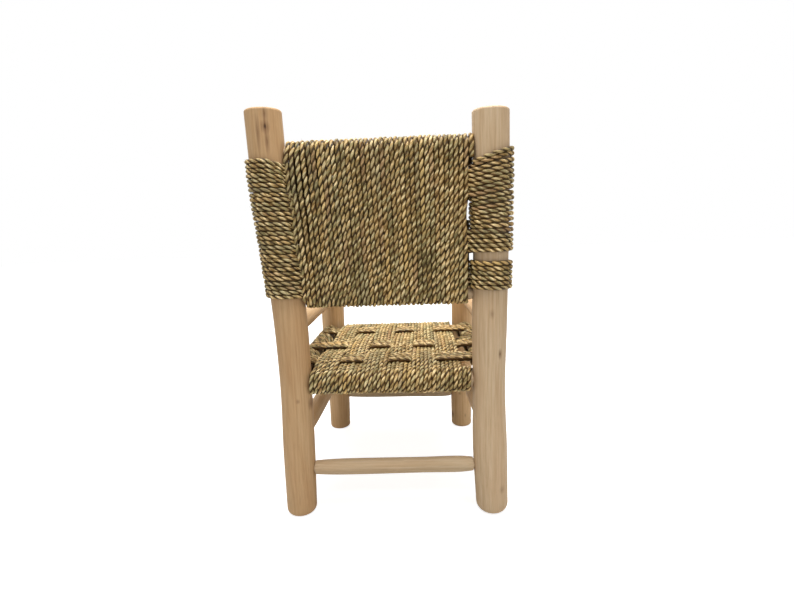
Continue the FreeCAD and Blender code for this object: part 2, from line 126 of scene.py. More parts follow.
# How far to the left the outermost ropes of the rear layer bulge, by height and by rope
left_bulge = ((0.405, 0.0040), (0.430, 0.0020), (0.447, 0.0010), (0.470, 0.0030), (0.500, 0.0052),
              (0.540, 0.0042), (0.585, 0.0065), (0.635, 0.0054), (0.652, 0.0030))
left_bulge_weights = (1.0, 0.85, 0.55, 0.25)
right_bulge = ((0.498, 0.0), (0.515, 0.0024), (0.545, 0.0026), (0.562, 0.0), (0.585, -0.0010),
               (0.620, 0.0))
right_bulge_weights = (1.0, 0.6, 0.3)
bulge_stand_off = 0.3

rng = np.random.default_rng(7)


# Shapes read from the frame

radius_tries = 3


class Trunk:
    """A standing pole: its centre and radius at any height, as its surface gives them."""

    def __init__(self, node):
        mesh = nodes[node].data
        self.tree = BVHTree.FromPolygons([v.co for v in mesh.vertices], [p.vertices for p in mesh.polygons])
        low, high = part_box(node)
        self.side = 1 if low.x + high.x > 0 else -1
        self.y = (low.y + high.y) / 2
        self.bare_way = 1 if self.y > 0 else -1
        self.known = {}

    def at(self, z):
        """The centre's x and the radius at a height, closed in on from a first guess."""
        key = round(z, 4)
        if key not in self.known:
            outer = self.tree.ray_cast(Vector((self.side, self.y, z)), Vector((-self.side, 0, 0)))[0].x
            radius = rope_diameter * 4
            for _ in range(radius_tries):
                start = Vector((outer - self.side * radius, self.bare_way, z))
                radius = abs(self.tree.ray_cast(start, Vector((0, -self.bare_way, 0)))[0].y - self.y)
            self.known[key] = (outer - self.side * radius, radius)
        return self.known[key]

    def centre(self, z):
        return np.array((self.at(z)[0], self.y, z))

    def lift(self, z):
        return self.at(z)[1] + post_gap + rope_diameter / 2

    def inner_face(self, z):
        x, radius = self.at(z)
        return x - self.side * radius


left_post, right_post = Trunk("left_back_post"), Trunk("right_back_post")
left_leg, right_leg = Trunk("left_front_leg"), Trunk("right_front_leg")


class Bar:
    """The centre line of a rail between two standing poles."""

    def __init__(self, node, first, second):
        low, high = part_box(node)
        self.z = ((low + high) / 2).z
        self.start = first.centre(self.z)
        self.span = second.centre(self.z) - self.start

    def at_x(self, x):
        return self.start + self.span * ((x - self.start[0]) / self.span[0])

    def at_y(self, y):
        return self.start + self.span * ((y - self.start[1]) / self.span[1])


rear_rail = Bar("seat_rear_rail", left_post, right_post)
front_rail = Bar("seat_front_rail", left_leg, right_leg)
left_rail = Bar("seat_left_rail", left_post, left_leg)
right_rail = Bar("seat_right_rail", right_post, right_leg)
top_rail = Bar("back_top_rail", left_post, right_post)
lower_rail = Bar("back_lower_rail", left_post, right_post)


# Rope lines

def resample(points, step):
    """Points at even steps along a line of points, with how far each lies along it."""
    spans = np.linalg.norm(np.diff(points, axis=0), axis=1)
    travelled = np.concatenate(([0.0], np.cumsum(spans)))
    count = max(2, round(travelled[-1] / step) + 1)
    even = np.linspace(0, travelled[-1], count)
    return np.column_stack([np.interp(even, travelled, points[:, k]) for k in range(3)]), even


def eased(share):
    """A share from 0 to 1 that starts and ends level."""
    return share * share * (3 - 2 * share)


def relax(points):
    """Rounds the corners of a line of points and keeps its ends."""
    for _ in range(corner_passes):
        points[1:-1] = (points[:-2] + 2 * points[1:-1] + points[2:]) / 4
    return points


def wander(travelled, waves):
    """A smooth random value along a rope. Each wave is a length and the most that it adds."""
    total = np.zeros(len(travelled))
    for wavelength, most in waves:
        knots = rng.uniform(-1, 1, int(travelled[-1] / wavelength) + 3)
        place = travelled / wavelength
        index = place.astype(int)
        share = eased(place - index)
        total += most * (knots[index] * (1 - share) + knots[index + 1] * share)
    return total


def steps(x, places, levels):
    """The level at x on smooth steps through places in rising order."""
    x = np.clip(x, places[0], places[-1])
    index = np.clip(np.searchsorted(places, x, side="right") - 1, 0, len(places) - 2)
    places, levels = np.array(places), np.array(levels)
    share = eased((x - places[index]) / (places[index + 1] - places[index]))
    return levels[index] * (1 - share) + levels[index + 1] * share


def run(start, end):
    """Points on a straight line."""
    count = max(2, int(np.linalg.norm(end - start) / ring_step) + 1)
    share = np.linspace(0, 1, count)[:, None]
    return start * (1 - share) + end * share


def half_turn(centre_from, centre_to, side, ahead, lift):
    """Half a turn round a bar whose centre moves along, from one side of it to the other."""
    count = int(math.pi * lift / ring_step) + 2
    share = np.linspace(0, 1, count)[1:-1, None]
    angle = share * math.pi
    centre = centre_from * (1 - share) + centre_to * share
    return centre + lift * (np.cos(angle) * side + np.sin(angle) * ahead)


def winding(first_bar, second_bar, outward, lift, turns, outer_shape=None, inner_shape=None):
    """A rope wound over two bars, and the places where its inner runs are half way.

    The bars are functions of the count of turns. The shapes bend the outer and the inner runs.
    """
    parts, middles, count = [], [], 0

    def add(points):
        nonlocal count
        parts.append(points)
        count += len(points)

    for turn in range(-1, turns):
        a, b = first_bar(turn), second_bar(turn)
        ahead = (b - a) / np.linalg.norm(b - a)
        if turn >= 0:
            points = run(a + outward * lift, b + outward * lift)
            add(outer_shape(points, turn) if outer_shape else points)
            add(half_turn(b, second_bar(turn + 0.5), outward, ahead, lift))
        points = run(second_bar(turn + 0.5) - outward * lift, first_bar(turn + 0.5) - outward * lift)
        points = inner_shape(points, turn + 0.5) if inner_shape else points
        half = len(points) // 2
        if turn < 0:
            points = points[half:]
            half = 0
        if turn == turns - 1:
            points = points[:half + 1]
        middles.append(count + half)
        add(points)
        if turn < turns - 1:
            add(half_turn(first_bar(turn + 0.5), first_bar(turn + 1), -outward, -ahead, lift))
    return np.concatenate(parts), middles


def spiral(centre, lift, side, way, start, end):
    """Turns round one bar. The centre and the lift are functions of the count of half turns."""
    count = int((end - start) * math.pi * lift(0) / ring_step)
    points = []
    for turn in np.linspace(start, end, count):
        angle = turn * math.pi
        offset = side * math.cos(angle) + way * math.sin(angle)
        points.append(centre(turn) + offset * lift(turn))
    return np.array(points)


def fanned(points, post):
    """Rope round a post, raised in step with how far out from its inner face it is."""
    slopes_by_height, reach, level = left_fan if post.side > 0 else right_fan
    points = points.copy()
    inner = np.array([post.inner_face(z) for z in points[:, 2]])
    outward = np.clip((points[:, 0] - inner) * post.side, 0, reach)
    slope = np.interp(points[:, 2], *zip(*slopes_by_height))
    rise = slope * (outward - level)
    points[:, 2] += rise
    points[:, 1] += np.where(points[:, 1] > post.y, np.clip(-rise, 0, None) * slope / fan_stand_off, 0)
    return points


def swept(points):
    """A straight run of points, with its change of height eased at both ends."""
    points = points.copy()
    share = eased(np.linspace(0, 1, len(points)))
    points[:, 2] = points[0, 2] + (points[-1, 2] - points[0, 2]) * share
    return points


# Rope meshes: two plies laid round each other, with a dark inner tube painted as the shade between them, and
# a few loose fibres

ply_sides = 10
ply_offset = 0.00185
ply_radial = 0.00195
ply_tangential = 0.00235
# A tube inside the plies, coloured as painted shade between them
shade_core_radius = 0.0037
shade_core_depth = 0.0012
shade_core_sides = 8
lay_length = 0.0285
ply_twist = -230.0
ply_dwell = 0.10
sideways_drift = 0.00034
thickness_drift = 0.09

# Lengths of the waves in which a rope wanders, and how much of each
sideways_waves = (0.045, 1.0), (0.017, 0.5)
lay_waves = (0.09, 0.6), (0.9, 1.0)
thickness_waves = (0.012, 1.0), (0.05, 1.0)

# Loose fibres
fibre_spacing = 0.055
fibre_radius = 0.00022
fibre_tip_share = 0.1
fibre_sides = 3
fibre_rings = 6
fibre_root_share = 0.85
fibre_slant = 1.2
fibre_lengths = (0.005, 0.012)
fibre_rises = (0.0006, 0.0030)
fibre_bend = 0.002

# How far apart ropes may lie in the grain of the rope's material
grain_reach = 400
any_way = (0.31, 0.47, 0.83)


def steady_frames(points):
    """The direction of travel and two unit vectors square to it that turn as little as they can."""
    ways = np.gradient(points, axis=0)
    ways /= np.linalg.norm(ways, axis=1)[:, None]
    normals = np.empty_like(points)
    normal = np.cross(ways[0], any_way)
    for i, way in enumerate(ways):
        normal = normal - way * normal.dot(way)
        normal = normal / math.sqrt(normal.dot(normal))
        normals[i] = normal
    return ways, normals, np.cross(ways, normals)


class Rope:
    """One rope along a line, ready to be cut into meshes.

    The core is a box, as its low and high corners, that the rope is wound round. Where the count of
    turns is given, the lay is such that the plies of neighbouring turns lie staggered.
    """

    def __init__(self, points, core, cuts=(), drift=1.0, girth=1.0, turns=None):
        points = relax(points.copy())
        spans = np.linalg.norm(np.diff(points, axis=0), axis=1)
        before = np.concatenate(([0.0], np.cumsum(spans)))
        self.points, self.travelled = resample(points, ring_step)
        self.cuts = [int(round(before[c] / before[-1] * (len(self.points) - 1))) for c in cuts]
        _, normals, binormals = steady_frames(self.points)
        for across in (normals, binormals):
            amount = wander(self.travelled, sideways_waves)
            self.points = self.points + across * (amount * sideways_drift * drift)[:, None]
        self.ways, self.normals, self.binormals = steady_frames(self.points)
        self.facing = self.points - np.clip(self.points, *core)
        self.facing /= np.linalg.norm(self.facing, axis=1)[:, None] + ring_step / 100
        self.girth = girth
        phase = rng.uniform(0, 2 * math.pi)
        self.start = rng.uniform(0, grain_reach)
        lay = lay_length
        if turns:
            turn_length = self.travelled[-1] / turns
            lay = 2 * turn_length / (int(2 * turn_length / lay_length) + 0.5)
        lay_drift = wander(self.travelled, lay_waves)
        self.turn = phase + 2 * math.pi * self.travelled / lay + lay_drift
        facing_turn = np.arctan2((self.facing * self.binormals).sum(axis=1),
                                 (self.facing * self.normals).sum(axis=1))
        self.turn -= ply_dwell / 2 * np.sin(2 * (self.turn - facing_turn))
        self.shells = [self.ply(0), self.ply(1), self.shade_core()]

    def ply(self, half):
        """The rings of one ply, and where each point lies on the ply as if it were untwisted."""
        turn = self.turn + half * math.pi
        cosine, sine = np.cos(turn)[:, None], np.sin(turn)[:, None]
        outward = self.normals * cosine + self.binormals * sine
        sideways = self.binormals * cosine - self.normals * sine
        girth = self.girth * (1 + thickness_drift * wander(self.travelled, thickness_waves))
        centre = self.points + outward * (ply_offset * girth)[:, None]
        angle = np.arange(ply_sides) * 2 * math.pi / ply_sides
        radial = ply_radial * girth[:, None] * np.cos(angle)
        tangential = ply_tangential * girth[:, None] * np.sin(angle)
        rings = (centre[:, None] + radial[..., None] * outward[:, None]
                 + tangential[..., None] * sideways[:, None])
        fibre_turn = angle + half * math.pi / 2 + (ply_twist * self.travelled)[:, None]
        strand = np.stack((np.broadcast_to((self.start + self.travelled)[:, None], fibre_turn.shape),
                           ply_radial * np.cos(fibre_turn), ply_radial * np.sin(fibre_turn)), axis=2)
        # Depth runs to the ply's inner face, and openness falls towards the sides that turn into the winding.
        # The material darkens both as painted shade.
        depth = np.broadcast_to((1 - np.cos(angle)) / 2, fibre_turn.shape)
        height = ((rings - self.points[:, None]) * self.facing[:, None]).sum(axis=2)
        openness = 0.5 + 0.5 * height / (ply_offset + ply_radial)
        return rings, strand, depth, openness

    def shade_core(self):
        """A dark tube inside the rope, painted as shade, which shows where its plies lie one behind the
        other.
        """
        angle = np.arange(shade_core_sides) * 2 * math.pi / shade_core_sides
        ring = (np.cos(angle)[:, None] * self.normals[:, None]
                + np.sin(angle)[:, None] * self.binormals[:, None])
        centre = self.points - self.facing * shade_core_depth
        rings = centre[:, None] + shade_core_radius * self.girth * ring
        # A depth of one gives it the material's darkest painted shade.
        return rings, rings, np.ones(rings.shape[:2]), np.ones(rings.shape[:2])

    def loose_fibre(self, place):
        """A thin fibre that has come free of the rope at a place and curls off it."""
        way = self.ways[place] * rng.choice((-1, 1))
        across = np.cross(way, self.facing[place])
        outward = self.facing[place] + across * rng.uniform(-fibre_slant, fibre_slant)
        outward /= np.linalg.norm(outward)
        share = np.linspace(0, 1, fibre_rings)[:, None]
        reach, rise = rng.uniform(*fibre_lengths), rng.uniform(*fibre_rises)
        bend = across * rng.uniform(-fibre_bend, fibre_bend)
        root = self.points[place] + outward * (ply_offset + ply_radial) * fibre_root_share
        line = root + way * reach * share + (outward * rise + bend) * share ** 2
        angle = np.arange(fibre_sides) * 2 * math.pi / fibre_sides
        thickness = fibre_radius * (1 + fibre_tip_share - share[:, :, None])
        ring = np.cos(angle)[None, :, None] * outward + np.sin(angle)[None, :, None] * across
        rings = line[:, None] + thickness * ring
        strand = rings + rng.uniform(0, grain_reach)
        return rings, strand, np.zeros(rings.shape[:2]), np.ones(rings.shape[:2])

    def piece(self, name, *replaced, first=0, last=None, material=None):
        """The mesh of a stretch of the rope, standing for the CAD nodes that it replaces."""
        last = len(self.points) - 1 if last is None else last
        shells = [tuple(part[first:last + 1] for part in shell) for shell in self.shells]
        count = int((last - first) * ring_step / fibre_spacing)
        shells += [self.loose_fibre(place) for place in rng.integers(first, last, count)]
        obj = shells_object(name, shells)
        obj.data.materials.append(material or rope_material)
        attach(obj, "root")
        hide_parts(*replaced)


def shells_object(name, shells):
    """One mesh of closed tubes, each given as rings, strand places, depths and openness."""
    vertices, strands, depths, opens, quads, ends = [], [], [], [], [], []
    base = 0
    for rings, strand, depth, openness in shells:
        count, sides = rings.shape[:2]
        index = base + np.arange(count * sides).reshape(count, sides)
        nxt = np.roll(index, -1, axis=1)
        quads.append(np.stack((index[:-1], nxt[:-1], nxt[1:], index[1:]), axis=2).reshape(-1, 4))
        ends += [index[0][::-1], index[-1]]
        vertices.append(rings.reshape(-1, 3))
        strands.append(strand.reshape(-1, 3))
        depths.append(depth.reshape(-1))
        opens.append(openness.reshape(-1))
        base += count * sides
    vertices, quads = np.concatenate(vertices), np.concatenate(quads)
    mesh = bpy.data.meshes.new(name)
    mesh.vertices.add(len(vertices))
    mesh.vertices.foreach_set("co", vertices.astype(np.float32).ravel())
    corners = np.concatenate([quads.ravel(), *ends]).astype(np.int32)
    sizes = np.concatenate((np.full(len(quads), 4), [len(e) for e in ends]))
    mesh.loops.add(len(corners))
    mesh.loops.foreach_set("vertex_index", corners)
    mesh.polygons.add(len(sizes))
    loop_starts = np.concatenate(([0], np.cumsum(sizes)[:-1])).astype(np.int32)
    mesh.polygons.foreach_set("loop_start", loop_starts)
    mesh.update(calc_edges=True)
    mesh.polygons.foreach_set("use_smooth", np.ones(len(sizes), bool))
    strand = mesh.attributes.new("strand", "FLOAT_VECTOR", "POINT")
    strand.data.foreach_set("vector", np.concatenate(strands).astype(np.float32).ravel())
    for name, values in (("depth", depths), ("openness", opens)):
        held = mesh.attributes.new(name, "FLOAT", "POINT")
        held.data.foreach_set("value", np.concatenate(values).astype(np.float32))
    mesh.validate()
    obj = bpy.data.objects.new(name, mesh)
    bpy.context.scene.collection.objects.link(obj)
    return obj


# Materials

class Shader:
    """A material's node tree, with short ways to add nodes."""

    def __init__(self, name):
        self.material = bpy.data.materials.new(name)
        self.material.use_nodes = True
        self.tree = self.material.node_tree
        self.surface = self.tree.nodes["Principled BSDF"]

    def node(self, kind, inputs=(), **settings):
        made = self.tree.nodes.new(kind)
        for key, value in settings.items():
            setattr(made, key, value)
        for socket, value in dict(inputs).items():
            self.feed(made.inputs[socket], value)
        return made

    def feed(self, socket, value):
        if isinstance(value, bpy.types.NodeSocket):
            self.tree.links.new(value, socket)
        else:
            socket.default_value = value

    def math(self, operation, first, second=0.0):
        return self.node("ShaderNodeMath", {0: first, 1: second}, operation=operation).outputs[0]

    def noise(self, vector, scale, detail=3.0, roughness=0.5):
        """Noise on a vector stretched by a scale for each of its parts."""
        stretched = self.node("ShaderNodeVectorMath", {0: vector, 1: scale}, operation="MULTIPLY").outputs[0]
        return self.node("ShaderNodeTexNoise", {"Vector": stretched, "Scale": 1.0, "Detail": detail,
                                                "Roughness": roughness}).outputs["Fac"]

    def ramp(self, value, *stops):
        """A colour ramp. Each stop is a place and a colour or a grey."""
        made = self.node("ShaderNodeValToRGB", {"Fac": value})
        elements = made.color_ramp.elements
        while len(elements) < len(stops):
            elements.new(0.5)
        for element, (place, colour) in zip(elements, stops):
            element.position = place
            element.color = (*colour, 1) if isinstance(colour, tuple) else (colour, colour, colour, 1)
        return made.outputs["Color"]

    def mix(self, amount, first, second, blend="MIX"):
        made = self.node("ShaderNodeMix", data_type="RGBA", blend_type=blend)
        for socket, value in (("Factor_Float", amount), ("A_Color", first), ("B_Color", second)):
            target = next(s for s in made.inputs if s.identifier == socket)
            self.feed(target, (*value, 1) if isinstance(value, tuple) else value)
        return next(s for s in made.outputs if s.identifier == "Result_Color")

    def bump(self, height, distance, strength=1.0, normal=None):
        made = self.node("ShaderNodeBump", {"Height": height, "Distance": distance, "Strength": strength})
        if normal is not None:
            self.feed(made.inputs["Normal"], normal)
        return made.outputs["Normal"]


def make_rope_material(name, strawness, level):
    """Twisted grass: each ply goes from grey green through straw, with painted shade along its sides and
    inner face where the plies and neighbouring ropes shade it.

    The strawness is how far the mix leans from green to straw. The level is the overall lightness.
    """
    s = Shader(name)
    strand = s.node("ShaderNodeAttribute", attribute_name="strand").outputs["Vector"]
    depth = s.node("ShaderNodeAttribute", attribute_name="depth").outputs["Fac"]
    length_tone = s.noise(strand, (3.1, 0, 0), detail=1.0)
    leaf_tone = s.noise(strand, (58.0, 170, 170), detail=1.5, roughness=0.6)
    leaf_hue = s.noise(strand, (31.0, 210, 210), detail=1.0)
    rope_hue = s.noise(strand, (3.7, 0, 0), detail=1.0)
    hue = s.math("ADD", s.math("MULTIPLY", leaf_hue, 0.45), s.math("MULTIPLY", rope_hue, 0.55))
    hue = s.math("ADD", hue, strawness)
    fibre = s.noise(strand, (55.0, 2100, 2100), detail=2.0, roughness=0.6)
    red = s.noise(strand, (6.5, 30, 30), detail=1.0)
    yellow = s.noise(strand, (2.7, 12, 12), detail=1.0)
    grey = s.noise(strand, (4.9, 18, 18), detail=1.0)
    openness = s.node("ShaderNodeAttribute", attribute_name="openness").outputs["Fac"]
    tone = s.math("ADD", s.math("MULTIPLY", length_tone, 0.36), s.math("MULTIPLY", leaf_tone, 0.64))
    green = s.ramp(tone, (0.37, (0.130, 0.100, 0.028)), (0.50, (0.330, 0.275, 0.125)),
                   (0.63, (0.680, 0.600, 0.350)))
    straw = s.ramp(tone, (0.37, (0.210, 0.125, 0.032)), (0.50, (0.520, 0.360, 0.150)),
                   (0.63, (0.950, 0.760, 0.430)))
    colour = s.mix(s.ramp(hue, (0.43, 0.0), (0.55, 1.0)), green, straw)
    colour = s.mix(s.ramp(grey, (0.54, 0.0), (0.64, 0.45)), colour, (0.300, 0.280, 0.165))
    colour = s.mix(s.ramp(yellow, (0.58, 0.0), (0.66, 0.6)), colour, (0.720, 0.500, 0.190))
    colour = s.mix(s.ramp(red, (0.58, 0.0), (0.68, 0.55)), colour, (0.420, 0.235, 0.125))
    streak = s.ramp(fibre, (0.30, 0.70), (0.50, 1.0), (0.70, 1.18))
    colour = s.mix(1.0, colour, streak, blend="MULTIPLY")
    # Painted shade: the inner face of each ply darkens where the other ply shades it.
    painted_crevice_shade = s.ramp(depth, (0.36, 1.0), (0.62, (0.60, 0.50, 0.35)), (0.86, (0.15, 0.10, 0.030)))
    colour = s.mix(1.0, colour, painted_crevice_shade, blend="MULTIPLY")
    # Painted shade: the sides of each rope that face into the winding and its neighbours darken.
    shade = s.ramp(openness, (0.36, (0.08, 0.055, 0.018)), (0.57, (0.46, 0.375, 0.245)), (0.77, 1.0))
    colour = s.mix(1.0, colour, shade, blend="MULTIPLY")
    colour = s.mix(1.0, colour, (level * 1.04, level, level * 0.93), blend="MULTIPLY")
    s.feed(s.surface.inputs["Base Color"], colour)
    s.surface.inputs["Roughness"].default_value = 0.55
    s.surface.inputs["Specular IOR Level"].default_value = 0.35
    s.feed(s.surface.inputs["Normal"], s.bump(fibre, 0.0005, 0.7))
    return s.material


# Knots darker than this have a core that is darker still
deep_knot = 0.7


def make_wood_material(name, along, tint, knots=()):
    """Debarked pole. Along is the axis of the grain, and knots are places, sizes and depths."""
    s = Shader(name)
    place = s.node("ShaderNodeTexCoord").outputs["Object"]

    def stretch(grain, across):
        return tuple(grain if k == along else across for k in range(3))

    grain = s.noise(place, stretch(9, 260), detail=4.0, roughness=0.6)
    fine = s.noise(place, stretch(40, 1500), detail=3.0, roughness=0.6)
    patch = s.noise(place, stretch(5, 22), detail=2.0)
    colour = s.ramp(grain, (0.30, (0.500, 0.325, 0.170)), (0.50, (0.590, 0.418, 0.240)),
                    (0.72, (0.660, 0.490, 0.305)))
    warm = s.ramp(patch, (0.40, 0.0), (0.68, 0.5))
    colour = s.mix(warm, colour, (0.560, 0.355, 0.185))
    fine_tone = s.ramp(fine, (0.34, 0.90), (0.55, 1.0))
    colour = s.mix(1.0, colour, fine_tone, blend="MULTIPLY")
    colour = s.mix(1.0, colour, tint, blend="MULTIPLY")
    height = s.math("ADD", s.math("MULTIPLY", grain, 0.7), s.math("MULTIPLY", fine, 0.3))
    for centre, size, dark in knots:
        away = s.node("ShaderNodeVectorMath", {0: place, 1: centre}, operation="SUBTRACT").outputs[0]
        away = s.node("ShaderNodeVectorMath", {0: away, 1: tuple(1 / k for k in size)},
                      operation="MULTIPLY").outputs[0]
        rough_edge = s.math("MULTIPLY", s.math("SUBTRACT", grain, 0.5), 0.9)
        reach = s.node("ShaderNodeVectorMath", {0: away}, operation="LENGTH").outputs["Value"]
        reach = s.math("ADD", reach, rough_edge)
        halo = s.ramp(reach, (0.10, dark), (0.45, dark * 0.55), (1.0, 0.0))
        colour = s.mix(halo, colour, (0.180, 0.085, 0.035))
        core = s.ramp(reach, (0.0, 1.0), (0.28, 0.0))
        colour = s.mix(core, colour, (0.060, 0.030, 0.015)) if dark > deep_knot else colour
        height = s.math("SUBTRACT", height, s.math("MULTIPLY", core, 1.5))
    s.feed(s.surface.inputs["Base Color"], colour)
    s.surface.inputs["Roughness"].default_value = 0.58
    s.surface.inputs["Specular IOR Level"].default_value = 0.30
    s.feed(s.surface.inputs["Normal"], s.bump(height, 0.0008, 0.6))
    return s.material


rope_material = make_rope_material("grass_rope", 0.0, 1.08)
cross_rope_material = make_rope_material("straw_rope", 0.05, 1.08)

# Dark knots on the posts: place on the surface, half sizes and strength
left_post_knots = (
    ((0.1752, 0.2045, 0.688), (0.0080, 0.020, 0.013), 1.0),
    ((0.1745, 0.2045, 0.707), (0.0055, 0.020, 0.018), 0.70),
    ((0.1740, 0.2045, 0.666), (0.0045, 0.020, 0.024), 0.70),
    ((0.1870, 0.2020, 0.680), (0.0050, 0.020, 0.042), 0.70),
    ((0.157, 0.2019, 0.226), (0.004, 0.015, 0.006), 0.60),
    ((0.139, 0.1828, 0.215), (0.005, 0.015, 0.014), 0.70),
)
right_post_knots = (
    ((-0.195, 0.2010, 0.304), (0.004, 0.015, 0.012), 0.9),
    ((-0.181, 0.2050, 0.374), (0.006, 0.015, 0.010), 0.35),
    ((-0.199, 0.2004, 0.052), (0.006, 0.015, 0.010), 0.4),
)
right_leg_knots = (
    ((-0.1407, -0.1752, 0.030), (0.005, 0.012, 0.012), 0.95),
    ((-0.1590, -0.1595, 0.093), (0.005, 0.012, 0.006), 0.5),
    ((-0.1722, -0.1603, 0.032), (0.003, 0.012, 0.008), 0.5),
)

# Tints of the poles. The left post's darker, warmer tan is partly painted shade of the dimmer left side, and
# the right post's paler tint is partly painted light on the brighter right.
tan, pale, brown = (0.97, 0.87, 0.76), (1.07, 1.09, 1.15), (1.12, 1.02, 0.89)
sand = (0.97, 1.01, 1.08)


def dress_wood():
    uprights = {"left_back_post": (tan, left_post_knots), "right_back_post": (pale, right_post_knots),
                "left_front_leg": (brown, ()), "right_front_leg": (brown, right_leg_knots)}
    for node, (tint, knots) in uprights.items():
        set_material(node, make_wood_material(f"{node}_wood", 2, tint, knots))
    across = make_wood_material("cross_rail_wood", 0, sand)
    deep = make_wood_material("side_rail_wood", 1, brown)
    for node in ("seat_rear_rail", "seat_front_rail", "back_top_rail", "back_lower_rail",
                 "rear_stretcher", "front_stretcher"):
        set_material(node, across)
    for node in ("seat_left_rail", "seat_right_rail", "left_arm", "right_arm", "left_stretcher",
                 "right_stretcher"):
        set_material(node, deep)


def set_material(node, material):
    slots = nodes[node].material_slots
    if slots:
        for held in slots:
            held.material = material
    else:
        nodes[node].data.materials.append(material)


# Rope on the seat

def core_box(x=(-1, 1), y=(-1, 1), z=None):
    """A core's low and high corners. The height is one value."""
    low, high = (-1, 1) if z is None else (z, z)
    return np.array(((x[0], y[0], low), (x[1], y[1], high)))


def edge_line(rail_z, left, right, margins):
    """The x of the first and the last rope of a winding between two poles."""
    return (left.inner_face(rail_z) - margins[0] - rope_diameter / 2,
            right.inner_face(rail_z) + margins[1] + rope_diameter / 2)


seat_rear_ends = edge_line(rear_rail.z, left_post, right_post, seat_rear_margins)
seat_front_ends = edge_line(front_rail.z, left_leg, right_leg, seat_front_margins)
weave_step = left_rail.z + side_rope_lift - rear_rail.z - seat_rope_lift
row_half = seat_row_loops * rope_pitch / 2
y_shift = left_post.y - back_post_y


def seat_x(turn, y):
    """The x of the seat's front-to-back rope at a depth."""
    share = (turn + 0.5) / seat_turns
    rear = seat_rear_ends[0] + (seat_rear_ends[1] - seat_rear_ends[0]) * share
    front = seat_front_ends[0] + (seat_front_ends[1] - seat_front_ends[0]) * share
    depth = (y - left_leg.y) / (left_post.y - left_leg.y)
    return front + (rear - front) * depth


def band_of(turn, turns, bands):
    return min(int((turn + 0.5) * bands / turns), bands - 1)


def crossing(turns, bands, x_of, level_of, run_out):
    """Places and levels of rope that crosses bands of rope, from the last band to the first.

    x_of gives the x of a turn and level_of the level at a band. The rope is back at its own level
    when it has run out beyond the bands.
    """
    places, levels = [], []
    for band in reversed(range(bands)):
        first, last = turns * band // bands - 0.5, turns * (band + 1) // bands - 0.5
        places += [x_of(last) + weave_ease, x_of(first) - weave_ease]
        levels += [level_of(band)] * 2
    return [places[0] - run_out] + places + [places[-1] + run_out], [0.0] + levels + [0.0]


def seat_over(band, row):
    """Whether a band passes over a row of cross rope."""
    return (band + row) % 2 == 0


row_places = [seat_rows[name] + y_shift for name in ("rear", "middle", "front")]


def weave_seat_run(points, turn):
    """Lifts a run of the seat's front-to-back rope over the cross rope."""
    band = band_of(turn, seat_turns, seat_bands)
    places, levels = [front_rail.start[1]], [0.0]
    for row in (2, 1, 0):
        level = weave_step if seat_over(band, row) else 0.0
        places += [row_places[row] - row_half, row_places[row] + row_half]
        levels += [level, level]
    places.append(rear_rail.start[1])
    levels.append(0.0)
    points = points.copy()
    points[:, 2] += steps(points[:, 1], places, levels)
    return points


def seat_warp():
    points, middles = winding(lambda t: rear_rail.at_x(seat_x(t, left_post.y)),
                              lambda t: front_rail.at_x(seat_x(t, left_leg.y)),
                              UP, seat_rope_lift, seat_turns, outer_shape=weave_seat_run)
    cuts = [middles[seat_turns * i // seat_bands] for i in range(seat_bands + 1)]
    rope = Rope(points, core_box(y=(left_leg.y, left_post.y), z=rear_rail.z), cuts, girth=seat_girth,
                turns=seat_turns)
    for i in range(seat_bands):
        rope.piece(f"seat_rope_{i + 1}", f"seat_warp_band_{i + 1}", first=rope.cuts[i], last=rope.cuts[i + 1])


def weave_row_run(row):
    """Bends a run of the seat's cross rope under and over the bands."""
    def shape(points, turn):
        y = points[0, 1]
        places, levels = crossing(seat_turns, seat_bands, lambda t: seat_x(t, y),
                                  lambda band: -weave_step if seat_over(band, row) else 0.0,
                                  3 * weave_ease)
        points = points.copy()
        points[:, 2] += steps(points[:, 0], places, levels)
        return points
    return shape


def seat_weft():
    for row, name in enumerate(("rear", "middle", "front")):
        def y_at(turn):
            return row_places[row] - (turn + 0.5 - seat_row_loops / 2) * rope_pitch

        points, _ = winding(lambda t: left_rail.at_y(y_at(t)), lambda t: right_rail.at_y(y_at(t)),
                            UP, side_rope_lift, seat_row_loops, outer_shape=weave_row_run(row))
        core = core_box(x=(right_rail.start[0], left_rail.start[0]), z=left_rail.z)
        rope = Rope(points, core)
        rope.piece(f"seat_cross_rope_{name}", f"seat_weft_{name}", material=cross_rope_material)


def rail_end_wrap():
    first = right_post.inner_face(rear_rail.z) + rail_end_margin + rope_diameter / 2
    points = spiral(lambda t: rear_rail.at_x(first + rope_pitch * t / 2), lambda t: seat_rope_lift,
                    -REARWARD, UP, 0, rail_end_half_turns)
    core = core_box(y=(left_post.y, left_post.y), z=rear_rail.z)
    Rope(points, core, girth=rail_end_girth).piece("seat_rail_end_rope", "seat_rail_end_wrap")


def side_wraps():
    reach = row_half + wrap_pitch
    leg_face = left_leg.y + leg_radius + side_wrap_margin
    stretches = (("rear", row_places[0] - reach, row_places[1] + reach),
                 ("middle", row_places[1] - reach, row_places[2] + reach),
                 ("front", row_places[2] - reach, leg_face))
    for side, rail in (("left", left_rail), ("right", right_rail)):
        for name, rear_end, front_end in stretches:
            turns = int((rear_end - front_end) / wrap_pitch)
            slack = (rear_end - front_end - turns * wrap_pitch) / 2
            points = spiral(lambda t: rail.at_y(rear_end - slack - wrap_pitch * t / 2),
                            lambda t: side_rope_lift, -UP, -LEFTWARD, 0, 2 * turns)
            middle = rail.at_y((rear_end + front_end) / 2)[0]
            core = core_box(x=(middle, middle), z=rail.z)
            Rope(points, core).piece(f"{side}_rail_rope_{name}", f"{side}_rail_wrap_{name}")


# Rope on the back

